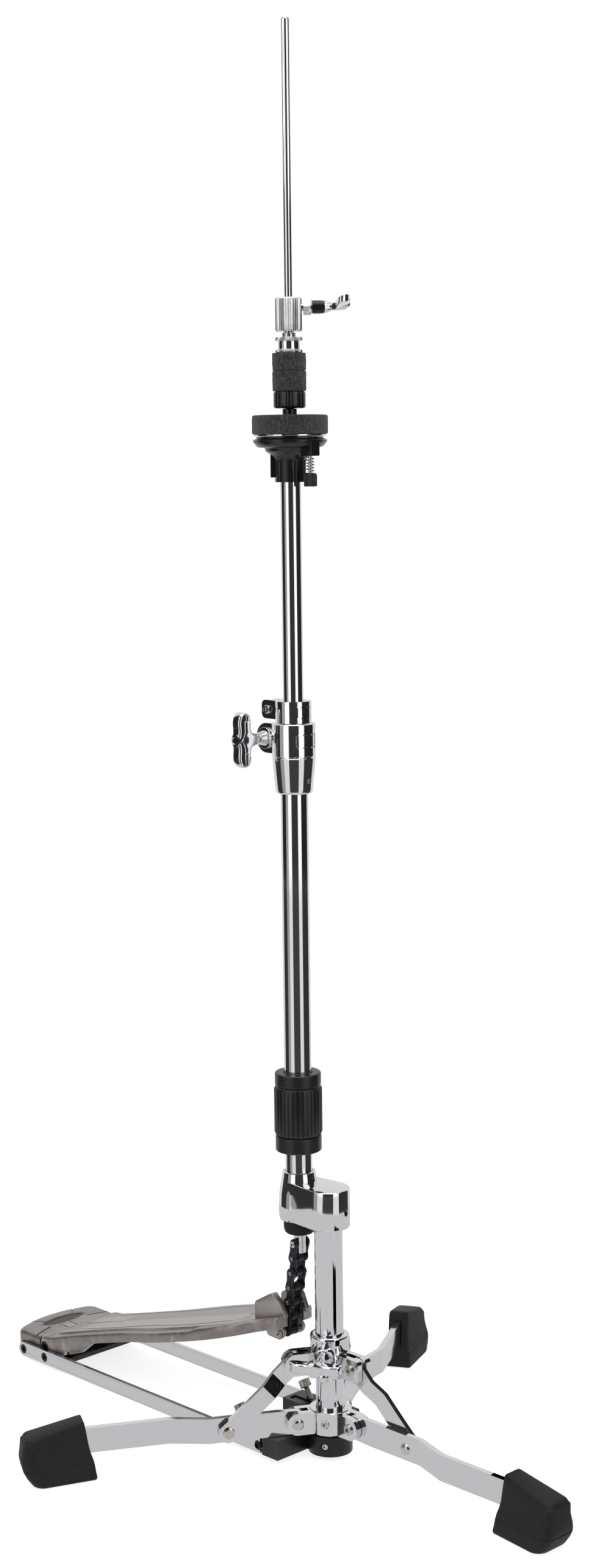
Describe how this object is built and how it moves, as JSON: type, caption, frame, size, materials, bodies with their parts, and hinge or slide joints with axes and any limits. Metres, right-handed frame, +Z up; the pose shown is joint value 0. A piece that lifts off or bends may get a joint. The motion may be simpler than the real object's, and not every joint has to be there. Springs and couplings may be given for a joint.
{
  "type": "hi-hat stand",
  "caption": "Flat-base folding hi-hat cymbal stand with a foot pedal, pull chain and rod, height-adjustable tube, cymbal seat and clutch.",
  "frame": {"origin": "middle of the footprint, on the floor", "axes": "+Z up along the pull rod, -Y towards the heel of the pedal, +X to the player's right"},
  "size_m": [0.4346, 0.6006, 1.1046],
  "materials": {
    "chrome": "polished",
    "satin_steel": "satin",
    "black_plastic": "semi-gloss",
    "black_metal": "satin",
    "cast_pedal": "satin cast",
    "felt": "pressed felt",
    "rubber": "matte",
    "chain_steel": "dark oiled"
  },
  "bodies": {
    "base": {"side_column": "chrome", "offset_bracket": "chrome", "lower_tube": "chrome", "height_clamp": "chrome", "adjuster_top_ring": "black_plastic", "adjuster_bottom_ring": "black_plastic", "rod_bumper": "rubber", "leg_hub": "chrome", "base_block": "black_metal", "rail_left": "chrome", "rail_right": "chrome", "rail_bolt_left": "black_metal", "rail_bolt_right": "black_metal", "heel_base_plate": "black_metal", "heel_plate": "cast_pedal", "hinge_pin": "satin_steel"},
    "upper": {"upper_tube": "chrome", "memory_lock": "chrome", "seat_cup": "black_plastic", "tilter_spring": "satin_steel"},
    "seat_pad": {"seat_felt": "felt", "seat_washer": "chrome"},
    "tilter": {"tilter_screw": "black_plastic"},
    "clutch": {"clutch_body": "satin_steel", "clutch_stem": "satin_steel", "clutch_spool_nut": "satin_steel", "clutch_felt_upper": "felt", "clutch_felt_lower": "felt"},
    "clutch_nut": {"clutch_bottom_nut": "black_plastic"},
    "clutch_bolt": {"clutch_wing_bolt": "chrome"},
    "lock_bolt": {"memory_lock_bolt": "satin_steel"},
    "height_bolt": {"height_wing_bolt": "chrome"},
    "barrel": {"tension_barrel": "black_plastic"},
    "rod": {"pull_rod": "satin_steel", "rod_connector": "chrome", "return_spring": "satin_steel"},
    "chain": {"chain_outer_link_1": "chain_steel", "chain_inner_link_1": "chain_steel", "chain_outer_link_2": "chain_steel", "chain_inner_link_2": "chain_steel", "chain_outer_link_3": "chain_steel", "chain_inner_link_3": "chain_steel"},
    "pedal": {"footboard": "cast_pedal", "toe_pin": "satin_steel"},
    "collar": {"leg_collar": "chrome"},
    "collar_bolt": {"collar_wing_bolt": "chrome"},
    "leg_front": {"leg_front": "chrome", "foot_front": "rubber"},
    "leg_left": {"leg_left": "chrome", "foot_left": "rubber"},
    "leg_right": {"leg_right": "chrome", "foot_right": "rubber"},
    "brace_front": {"brace_front": "chrome"},
    "brace_left": {"brace_left": "chrome"},
    "brace_right": {"brace_right": "chrome"},
    "spur_left": {"spur_left": "satin_steel"},
    "spur_right": {"spur_right": "satin_steel"}
  },
  "joints": [
    {"name": "height", "type": "slide", "parent": "base", "child": "upper", "axis": [0, 0, 1], "range_m": [0, 0.12]},
    {"name": "height_bolt_turn", "type": "hinge", "parent": "base", "child": "height_bolt", "pos_m": [0.00275, -0.00021, 0.5656], "axis": [0.9962, -0.0872, 0], "range_deg": [-180, 180]},
    {"name": "lock_bolt_turn", "type": "hinge", "parent": "upper", "child": "lock_bolt", "pos_m": [0.00296, 0.00218, 0.588], "axis": [0.9962, -0.0872, 0], "range_deg": [-180, 180]},
    {"name": "seat_tilt", "type": "hinge", "parent": "upper", "child": "seat_pad", "pos_m": [0.00475, -0.00505, 0.7964], "axis": [1, 0, 0], "range_deg": [0, 3]},
    {"name": "tilter_turn", "type": "hinge", "parent": "upper", "child": "tilter", "pos_m": [0.00475, 0.0442, 0.764], "axis": [0, 0, 1], "range_deg": [0, 361]},
    {"name": "clutch_slide", "type": "slide", "parent": "upper", "child": "clutch", "axis": [0, 0, 1], "range_m": [0, 0.055]},
    {"name": "clutch_bolt_turn", "type": "hinge", "parent": "clutch", "child": "clutch_bolt", "pos_m": [-0.00959, 0.03664, 0.8924], "axis": [-0.7169, 0.6972, 0], "range_deg": [-180, 180]},
    {"name": "clutch_nut_turn", "type": "hinge", "parent": "clutch", "child": "clutch_nut", "pos_m": [0.00475, 0.0227, 0.823], "axis": [0, 0, 1], "continuous": true},
    {"name": "tension_turn", "type": "hinge", "parent": "base", "child": "barrel", "pos_m": [0.00475, 0.0227, 0.273], "axis": [0, 0, 1], "continuous": true},
    {"name": "pedal", "type": "hinge", "parent": "base", "child": "pedal", "pos_m": [0.00475, -0.2541, 0.0171], "axis": [-1, 0, 0], "range_deg": [0, 8], "stiffness_Nm_per_rad": 12, "springref_deg": -17.19},
    {"name": "rod_slide", "type": "slide", "parent": "base", "child": "rod", "axis": [0, 0, -1], "range_m": [0, 0.0368], "deforming": ["return_spring"]},
    {"name": "chain_swing", "type": "hinge", "parent": "rod", "child": "chain", "pos_m": [0.00475, 0.0227, 0.1645], "axis": [1, 0, 0], "range_deg": [0, 6.2]},
    {"name": "collar_slide", "type": "slide", "parent": "base", "child": "collar", "axis": [0, 0, 1], "range_m": [0, 0.0526]},
    {"name": "collar_bolt_turn", "type": "hinge", "parent": "collar", "child": "collar_bolt", "pos_m": [0.03073, 0.0697, 0.0855], "axis": [0.866, 0.5, 0], "range_deg": [-180, 180]},
    {"name": "leg_front_fold", "type": "hinge", "parent": "base", "child": "leg_front", "pos_m": [0.00475, 0.0827, 0.029], "axis": [1, 0, 0], "range_deg": [0, 44.6]},
    {"name": "brace_front_fold", "type": "hinge", "parent": "leg_front", "child": "brace_front", "pos_m": [0.00475, 0.1382, 0.028], "axis": [1, 0, 0], "range_deg": [-58.4, 0]},
    {"name": "leg_left_fold", "type": "hinge", "parent": "base", "child": "leg_left", "pos_m": [-0.0195, 0.0407, 0.029], "axis": [-0.5, 0.866, 0], "range_deg": [0, 44.6]},
    {"name": "brace_left_fold", "type": "hinge", "parent": "leg_left", "child": "brace_left", "pos_m": [-0.06756, 0.01295, 0.028], "axis": [-0.5, 0.866, 0], "range_deg": [-58.4, 0]},
    {"name": "leg_right_fold", "type": "hinge", "parent": "base", "child": "leg_right", "pos_m": [0.029, 0.0407, 0.029], "axis": [-0.5, -0.866, 0], "range_deg": [0, 44.6]},
    {"name": "brace_right_fold", "type": "hinge", "parent": "leg_right", "child": "brace_right", "pos_m": [0.07706, 0.01295, 0.028], "axis": [-0.5, -0.866, 0], "range_deg": [-58.4, 0]},
    {"name": "spur_right_turn", "type": "hinge", "parent": "base", "child": "spur_right", "pos_m": [0.04075, -0.0107, 0.029], "axis": [0, -0.5446, 0.8387], "continuous": true},
    {"name": "spur_left_turn", "type": "hinge", "parent": "base", "child": "spur_left", "pos_m": [-0.03125, -0.0107, 0.029], "axis": [0, -0.5446, 0.8387], "continuous": true}
  ],
  "couplings": [
    {"joint": "tilter_turn", "follows": "seat_tilt", "ratio": 120},
    {"joint": "rod_slide", "follows": "pedal", "m_per_rad": 0.26181},
    {"joint": "chain_swing", "follows": "pedal", "ratio": 0.7496},
    {"joint": "leg_front_fold", "follows": "collar_slide", "rad_per_m": 14.628},
    {"joint": "brace_front_fold", "follows": "collar_slide", "rad_per_m": -19.202},
    {"joint": "leg_left_fold", "follows": "collar_slide", "rad_per_m": 14.628},
    {"joint": "brace_left_fold", "follows": "collar_slide", "rad_per_m": -19.202},
    {"joint": "leg_right_fold", "follows": "collar_slide", "rad_per_m": 14.628},
    {"joint": "brace_right_fold", "follows": "collar_slide", "rad_per_m": -19.202}
  ]
}
